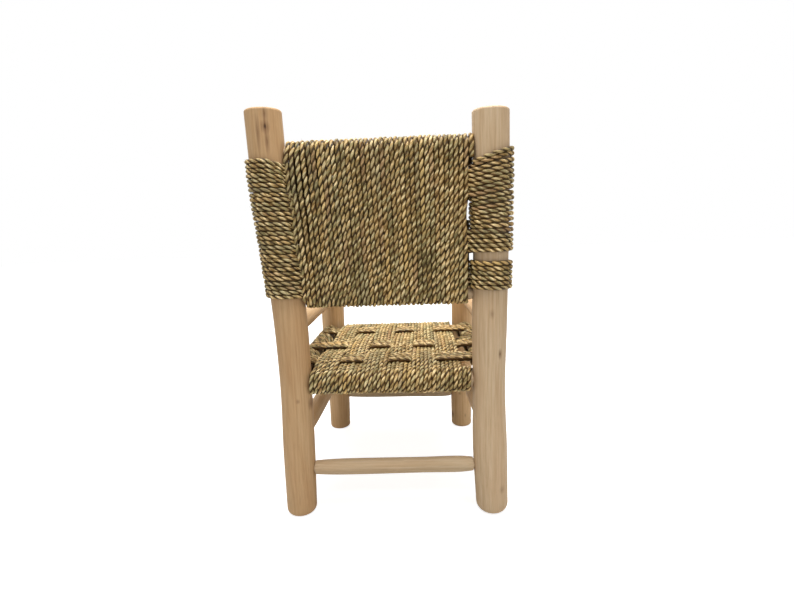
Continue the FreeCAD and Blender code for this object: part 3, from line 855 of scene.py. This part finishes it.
back_top_ends = edge_line(top_rail.z, left_post, right_post, back_top_margins)
back_lower_ends = edge_line(lower_rail.z, left_post, right_post, back_lower_margins)
back_rows = [([lower_rail.z + (top_rail.z - lower_rail.z) * share for share in shares], loops)
             for shares, loops in zip(back_row_shares, back_row_loops)]
weft_inset = (back_rope_lift - rope_pitch / 2) / 2
back_y = left_post.y


def back_x(turn, z, left_tuck=0.0, right_tuck=0.0):
    """The x of the back's upright rope at a height. The tucks move its edges outwards."""
    share = (turn + 0.5) / back_turns
    top = back_top_ends[0] + (back_top_ends[1] - back_top_ends[0]) * share
    lower = back_lower_ends[0] + (back_lower_ends[1] - back_lower_ends[0]) * share
    across = lower + (top - lower) * (z - lower_rail.z) / (top_rail.z - lower_rail.z)
    return across + left_tuck * (1 - share) - right_tuck * share


def back_under(band, row):
    """Whether a band of the front layer passes behind a row of cross rope."""
    return (band + row) % 2 == 1


def weave_back_run(points, turn):
    """Takes a run of the back's front layer behind the cross rope."""
    band = band_of(turn, back_turns, back_bands)
    swap = back_rope_lift - weft_inset
    across = eased((turn + 0.5) / back_turns)
    places, levels = [lower_rail.z], [0.0]
    for row, ((left, right), loops) in enumerate(back_rows):
        level = swap if back_under(band, row) else 0.0
        height = left + (right - left) * across
        half = loops * wrap_pitch / 2
        places += [height - half, height + half]
        levels += [level, level]
    places.append(top_rail.z)
    levels.append(0.0)
    points = points.copy()
    points[:, 1] += steps(points[:, 2], places, levels)
    return points


def bulge_edges(points, turn):
    """The outermost ropes of the rear layer bulge over the rope round the posts or away from it."""
    for place, bulge, weights in ((turn, left_bulge, left_bulge_weights),
                                  (back_turns - 1 - turn, right_bulge, right_bulge_weights)):
        if place < len(weights):
            points = points.copy()
            amount = np.interp(points[:, 2], *zip(*bulge)) * weights[place]
            points[:, 0] += amount
            points[:, 1] += np.clip(amount, 0, None) * bulge_stand_off
    return points


def back_warp():
    def on_top(turn):
        return top_rail.at_x(back_x(turn, top_rail.z, back_left_tucks[0], back_right_tucks[0]))

    def on_lower(turn):
        return lower_rail.at_x(back_x(turn, lower_rail.z, back_left_tucks[1], back_right_tucks[1]))

    points, middles = winding(on_top, on_lower, REARWARD, back_rope_lift, back_turns,
                              outer_shape=bulge_edges, inner_shape=weave_back_run)
    cuts = [middles[back_turns * i // back_bands] for i in range(back_bands + 1)]
    core = np.array(((-1, back_y, lower_rail.z), (1, back_y, top_rail.z)))
    rope = Rope(points, core, cuts, girth=back_girth, turns=back_turns)
    for i in range(back_bands):
        rope.piece(f"back_rope_{i + 1}", f"back_warp_band_{i + 1}", first=rope.cuts[i], last=rope.cuts[i + 1])


def round_post(post, enter, leave):
    """From between the layers of the back, round a post and back, from one height to another."""
    side = post.side
    height = (enter + leave) / 2
    centre_x = post.at(height)[0]
    lift = post.lift(height)
    edge = back_x(0 if side > 0 else back_turns - 1, height)
    to_edge = abs(edge - centre_x) + rope_pitch / 2
    far = math.hypot(to_edge, back_rope_lift)
    lean = math.atan2(back_rope_lift, to_edge) + math.acos((lift + rope_pitch) / far)
    sine, cosine = math.sin(lean), math.cos(lean)
    ramp = (lift * sine - weft_inset - throat_radius * (1 - sine)) / cosine
    bend_from = lift * cosine + ramp * sine
    bend_to = bend_from + throat_radius * cosine
    points = [(bend_to, weft_inset, enter), (bend_from, lift * sine - ramp * cosine, enter)]
    for i in range(throat_arc_steps + 1):
        angle = lean + (2 * math.pi - 2 * lean) * i / throat_arc_steps
        points.append((lift * math.cos(angle), lift * math.sin(angle),
                       enter + (leave - enter) * i / throat_arc_steps))
    points += [(bend_from, -(lift * sine - ramp * cosine), leave), (bend_to, -weft_inset, leave)]
    points = np.array([(centre_x - side * inward, post.y + side * rearward, z)
                       for inward, rearward, z in points])
    return fanned(points, post)


def front_run(start, end, row):
    """The run of a cross rope from post to post, woven through the front layer."""
    points = swept(run(start, end))
    z = (start[2] + end[2]) / 2
    swap = back_rope_lift - weft_inset
    places, levels = crossing(back_turns, back_bands, lambda t: back_x(t, z),
                              lambda band: -swap if back_under(band, row) else 0.0, 2 * weave_ease)
    points[:, 1] += steps(points[:, 0], places, levels)
    return points


def row_level(row, post, turn):
    """The height of a loop of cross rope at a post."""
    (left, right), loops = back_rows[row]
    return (left if post.side > 0 else right) + (turn + 0.5 - loops / 2) * wrap_pitch


def posts_core():
    """The plane between the two back posts' centre lines."""
    height = (top_rail.z + lower_rail.z) / 2
    return np.array(((right_post.centre(height)[0], back_y, 0), (left_post.centre(height)[0], back_y, 1)))


def back_weft():
    for row, name in enumerate(("lower", "upper")):
        loops = back_rows[row][1]

        def round_right(turn):
            return round_post(right_post, row_level(row, right_post, turn - 0.5),
                              row_level(row, right_post, turn))

        def round_left(turn):
            return round_post(left_post, row_level(row, left_post, turn),
                              row_level(row, left_post, turn + 0.5))

        previous = round_left(-1)
        parts = []
        for turn in range(loops):
            right, left = round_right(turn), round_left(turn)
            across = front_run(previous[-1], right[0], row)
            start = len(across) // 2 if turn == 0 else 1
            parts += [across[start:-1], right, swept(run(right[-1], left[0]))[1:-1], left]
            previous = left
        across = front_run(previous[-1], round_right(loops)[0], row)
        parts.append(across[1:len(across) // 2])
        points, _ = resample(np.concatenate(parts), ring_step)
        rope = Rope(points, posts_core(), drift=back_cross_drift)
        rope.piece(f"back_cross_rope_{name}", f"back_weft_{name}")


# Rope round the posts, above, between and below the cross rope

def loops_end(row, post, way):
    """The height where the turns round a post go on from the cross rope, above or below it.

    The loops come to the right post half a turn before they come to the left one.
    """
    early = (1 - post.side) / 4
    loops = back_rows[row][1]
    turn = loops - early if way > 0 else -0.5 - early
    return row_level(row, post, turn) + row_gap * way


def back_rail_end_wrap():
    x = right_post.inner_face(top_rail.z) + rope_diameter * end_wrap_place
    middle = top_rail.at_x(x)
    points = spiral(lambda t: middle, lambda t: back_rope_lift, REARWARD, UP, 0, 1)
    rear_tail = points[0] + (REARWARD * end_wrap_rear_stand_off - UP * end_wrap_rear_tail) * rope_diameter
    front_tail = points[-1] - UP * end_wrap_front_tail * rope_diameter
    points = np.concatenate(([rear_tail], points, [front_tail]))
    points, _ = resample(points, ring_step)
    core = np.array(((-1, back_y, 0), (1, back_y, top_rail.z)))
    Rope(points, core, girth=end_wrap_girth).piece("back_rail_end_rope", "back_rail_end_wrap")


def post_wraps():
    lowest = lower_rail.z + wrap_foot_lift
    for name, post, highest, bare in (("left", left_post, left_wrap_top, 0.0),
                                      ("right", right_post, right_wrap_top, right_bare_gap)):
        side = post.side
        stretches = (("top", loops_end(1, post, 1), highest, hidden_end, open_end),
                     ("middle", loops_end(0, post, 1) - row_tuck, loops_end(1, post, -1),
                      hidden_end, hidden_end),
                     ("lower", lowest, loops_end(0, post, -1) - bare, open_end, hidden_end))
        for part_name, low, high, before, beyond in stretches:
            half_turns = 2 * math.ceil((high - low) / wrap_pitch - least_turn_share) + 1
            step = (high - low) / half_turns
            points = spiral(lambda t: post.centre(low + step * t), lambda t: post.lift(low + step * t),
                            REARWARD * side, LEFTWARD * side, -before, half_turns + beyond)
            points = fanned(points, post)
            girth = float(np.clip(2 * step / wrap_pitch, *post_wrap_girths))
            middle = post.centre((low + high) / 2)
            core = np.array(((middle[0], middle[1], 0), (middle[0], middle[1], 1)))
            rope = Rope(points, core, girth=girth)
            rope.piece(f"{name}_post_rope_{part_name}", f"{name}_post_wrap_{part_name}")


dress_wood()
seat_warp()
seat_weft()
rail_end_wrap()
side_wraps()
back_warp()
back_weft()
back_rail_end_wrap()
post_wraps()


# Floor, light and camera

world_level = 0.32
floor_size = 14
floor_glow = 0.80
light_target = (0, 0, 0.38)


def make_floor():
    bpy.ops.mesh.primitive_plane_add(size=floor_size)
    floor = bpy.context.object
    floor.name = "floor"
    s = Shader("floor_paint")
    s.surface.inputs["Base Color"].default_value = (0.70, 0.70, 0.69, 1)
    s.surface.inputs["Roughness"].default_value = 0.9
    s.surface.inputs["Specular IOR Level"].default_value = 0.1
    camera_ray = s.node("ShaderNodeLightPath").outputs["Is Camera Ray"]
    glow = s.math("MULTIPLY", camera_ray, floor_glow)
    s.surface.inputs["Emission Color"].default_value = (1, 1, 1, 1)
    s.feed(s.surface.inputs["Emission Strength"], glow)
    floor.data.materials.append(s.material)


def make_world():
    world = bpy.data.worlds.new("studio")
    bpy.context.scene.world = world
    world.use_nodes = True
    tree = world.node_tree
    background = tree.nodes["Background"]
    path = tree.nodes.new("ShaderNodeLightPath")
    seen = path.outputs["Is Camera Ray"]
    for name in ("Is Glossy Ray", "Is Transmission Ray"):
        joined = tree.nodes.new("ShaderNodeMath")
        joined.operation = "MAXIMUM"
        tree.links.new(seen, joined.inputs[0])
        tree.links.new(path.outputs[name], joined.inputs[1])
        seen = joined.outputs[0]
    level = tree.nodes.new("ShaderNodeMapRange")
    level.inputs["To Min"].default_value = world_level
    level.inputs["To Max"].default_value = 1.0
    tree.links.new(seen, level.inputs["Value"])
    tree.links.new(level.outputs["Result"], background.inputs["Strength"])
    background.inputs["Color"].default_value = (1, 1, 1, 1)


def area_light(name, place, size, power):
    lamp = bpy.data.lights.new(name, "AREA")
    lamp.size = size
    lamp.energy = power
    obj = bpy.data.objects.new(name, lamp)
    obj.location = place
    way = Vector(light_target) - Vector(place)
    obj.rotation_euler = way.to_track_quat("-Z", "Y").to_euler()
    bpy.context.scene.collection.objects.link(obj)


make_floor()
make_world()
area_light("key", (-1.3, 1.9, 2.0), 1.4, 10)
area_light("fill", (1.6, 1.6, 1.4), 1.6, 2.5)
area_light("front", (0.4, -2.0, 1.8), 1.8, 10)
area_light("overhead", (0.0, 0.16, 2.3), 1.5, 64)

camera_place = Vector((-0.05770, 0.95135, 0.53310))
camera_way = Vector((0.0446, -0.98487, -0.16743))
camera_roll = math.radians(-2.14)
camera_lens = 20.63

camera = bpy.data.cameras.new("camera")
camera.lens = camera_lens
camera.sensor_width = 36
camera_object = bpy.data.objects.new("camera", camera)
camera_object.matrix_world = (Matrix.Translation(camera_place)
                              @ camera_way.to_track_quat("-Z", "Y").to_matrix().to_4x4()
                              @ Matrix.Rotation(camera_roll, 4, "Z"))
bpy.context.scene.collection.objects.link(camera_object)
bpy.context.scene.camera = camera_object
bpy.context.scene.view_settings.view_transform = "Standard"
